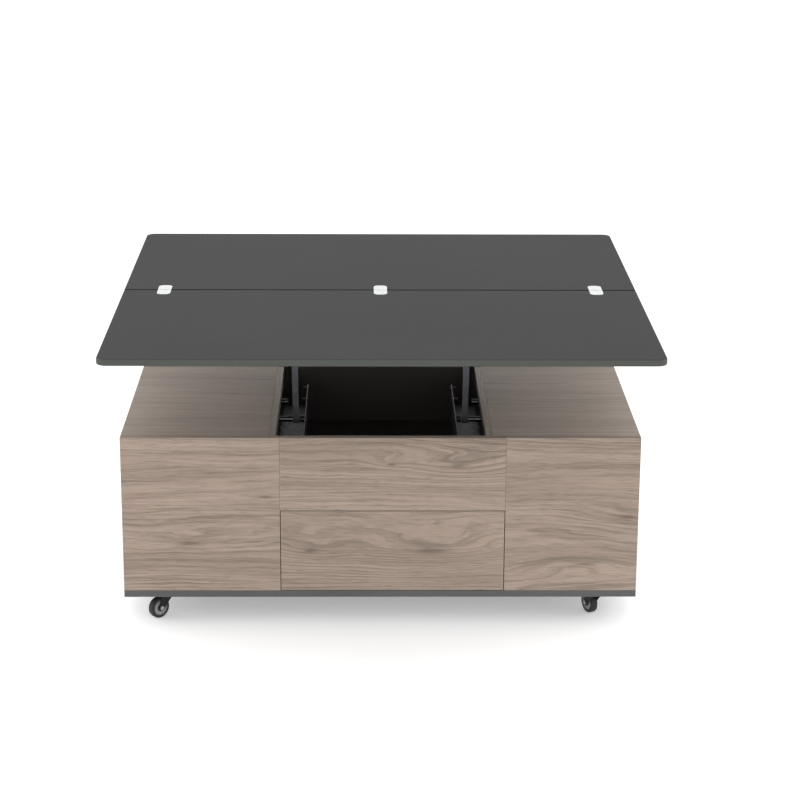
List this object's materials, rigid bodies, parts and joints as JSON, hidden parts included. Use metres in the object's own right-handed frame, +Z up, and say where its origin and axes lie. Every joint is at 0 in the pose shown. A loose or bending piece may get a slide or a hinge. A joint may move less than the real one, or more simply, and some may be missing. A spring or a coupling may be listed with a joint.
{
  "type": "lift top coffee table",
  "caption": "Rectangular storage coffee table on casters; its top lifts up and forward and folds open, with a hidden compartment and a drawer.",
  "frame": {"origin": "on the floor, under the middle of the raised and unfolded top", "axes": "+X right, +Y to the back, +Z up, seen from the drawer side"},
  "size_m": [1.2, 1.2024, 0.7229],
  "materials": {
    "walnut_board": "matt grey-brown walnut grain laminate",
    "compartment_board": "black laminated faces with a walnut grain edge band",
    "black_board": "black laminate",
    "top_board": "dark grey matt laminate",
    "base_board": "grey laminate",
    "drawer_board": "dark grey laminate",
    "black_steel": "black powder coat",
    "grey_steel": "grey powder coat",
    "pin_steel": "zinc plated",
    "dark_steel": "black oxide",
    "spring_steel": "oiled",
    "hinge_white": "satin white",
    "caster_black": "black",
    "wheel_black": "black with a grey hub ring"
  },
  "bodies": {
    "carcass": {"base_plate": "base_board", "back_panel": "walnut_board", "left_end_panel": "walnut_board", "right_end_panel": "walnut_board", "left_top_panel": "walnut_board", "right_top_panel": "walnut_board", "left_partition": "compartment_board", "right_partition": "compartment_board", "compartment_floor": "black_board", "left_front_panel": "walnut_board", "right_front_panel": "walnut_board", "upper_front_panel": "walnut_board", "drawer_stile": "black_board", "carcass_screws": "pin_steel", "lift_channel_left": "black_steel", "lift_channel_right": "black_steel", "base_pivot_pins": "dark_steel", "spring_anchor_pins": "dark_steel", "lift_springs": "spring_steel", "channel_screws": "pin_steel", "cabinet_runner_left": "black_steel", "cabinet_runner_right": "black_steel", "caster_plates": "caster_black", "caster_screws": "pin_steel"},
    "front_arms": {"front_arm_left": "grey_steel", "front_arm_right": "grey_steel"},
    "rear_arms": {"rear_arm_left": "black_steel", "rear_arm_right": "black_steel"},
    "front_top": {"front_leaf": "top_board", "upper_rail_left": "black_steel", "upper_rail_right": "black_steel", "upper_pivot_pins": "dark_steel", "rail_screws": "pin_steel", "front_hinge_plates": "hinge_white", "front_hinge_screws": "hinge_white", "hinge_pins": "pin_steel"},
    "rear_top": {"rear_leaf": "top_board", "rear_hinge_plates": "hinge_white", "rear_hinge_screws": "hinge_white"},
    "drawer": {"drawer_front": "walnut_board", "drawer_side_left": "drawer_board", "drawer_side_right": "drawer_board", "drawer_back": "drawer_board", "drawer_bottom": "drawer_board", "drawer_runner_left": "black_steel", "drawer_runner_right": "black_steel", "drawer_screws": "pin_steel"},
    "caster_front_left": {"caster_fork_front_left": "caster_black", "caster_axle_front_left": "pin_steel"},
    "wheel_front_left": {"caster_wheel_front_left": "wheel_black"},
    "caster_front_right": {"caster_fork_front_right": "caster_black", "caster_axle_front_right": "pin_steel"},
    "wheel_front_right": {"caster_wheel_front_right": "wheel_black"},
    "caster_rear_left": {"caster_fork_rear_left": "caster_black", "caster_axle_rear_left": "pin_steel"},
    "wheel_rear_left": {"caster_wheel_rear_left": "wheel_black"},
    "caster_rear_right": {"caster_fork_rear_right": "caster_black", "caster_axle_rear_right": "pin_steel"},
    "wheel_rear_right": {"caster_wheel_rear_right": "wheel_black"}
  },
  "joints": [
    {"name": "lift", "type": "hinge", "parent": "carcass", "child": "rear_arms", "pos_m": [0, 0.036, 0.436], "axis": [-1, 0, 0], "range_deg": [0, 117.38]},
    {"name": "front_arm_swing", "type": "hinge", "parent": "carcass", "child": "front_arms", "pos_m": [0, -0.104, 0.436], "axis": [-1, 0, 0], "range_deg": [0, 117.38]},
    {"name": "top_level", "type": "hinge", "parent": "rear_arms", "child": "front_top", "pos_m": [0, -0.03785, 0.65382], "axis": [-1, 0, 0], "range_deg": [-117.38, 0]},
    {"name": "fold", "type": "hinge", "parent": "front_top", "child": "rear_top", "pos_m": [0, 0, 0.7207], "axis": [1, 0, 0], "range_deg": [0, 180]},
    {"name": "drawer_slide", "type": "slide", "parent": "carcass", "child": "drawer", "axis": [0, -1, 0], "range_m": [0, 0.35]},
    {"name": "swivel_front_left", "type": "hinge", "parent": "carcass", "child": "caster_front_left", "pos_m": [-0.499, -0.239, 0.055], "axis": [0, 0, 1], "continuous": true},
    {"name": "roll_front_left", "type": "hinge", "parent": "caster_front_left", "child": "wheel_front_left", "pos_m": [-0.51409, -0.25212, 0.025], "axis": [0.6561, -0.7547, 0], "continuous": true},
    {"name": "swivel_front_right", "type": "hinge", "parent": "carcass", "child": "caster_front_right", "pos_m": [0.499, -0.239, 0.055], "axis": [0, 0, 1], "continuous": true},
    {"name": "roll_front_right", "type": "hinge", "parent": "caster_front_right", "child": "wheel_front_right", "pos_m": [0.49023, -0.22102, 0.025], "axis": [-0.8988, -0.4384, 0], "continuous": true},
    {"name": "swivel_rear_left", "type": "hinge", "parent": "carcass", "child": "caster_rear_left", "pos_m": [-0.499, 0.239, 0.055], "axis": [0, 0, 1], "continuous": true},
    {"name": "roll_rear_left", "type": "hinge", "parent": "caster_rear_left", "child": "wheel_rear_left", "pos_m": [-0.51713, 0.23055, 0.025], "axis": [0.4226, -0.9063, 0], "continuous": true},
    {"name": "swivel_rear_right", "type": "hinge", "parent": "carcass", "child": "caster_rear_right", "pos_m": [0.499, 0.239, 0.055], "axis": [0, 0, 1], "continuous": true},
    {"name": "roll_rear_right", "type": "hinge", "parent": "caster_rear_right", "child": "wheel_rear_right", "pos_m": [0.48021, 0.24584, 0.025], "axis": [-0.342, -0.9397, 0], "continuous": true}
  ],
  "couplings": [
    {"joint": "front_arm_swing", "follows": "lift", "ratio": 1},
    {"joint": "top_level", "follows": "lift", "ratio": -1}
  ]
}
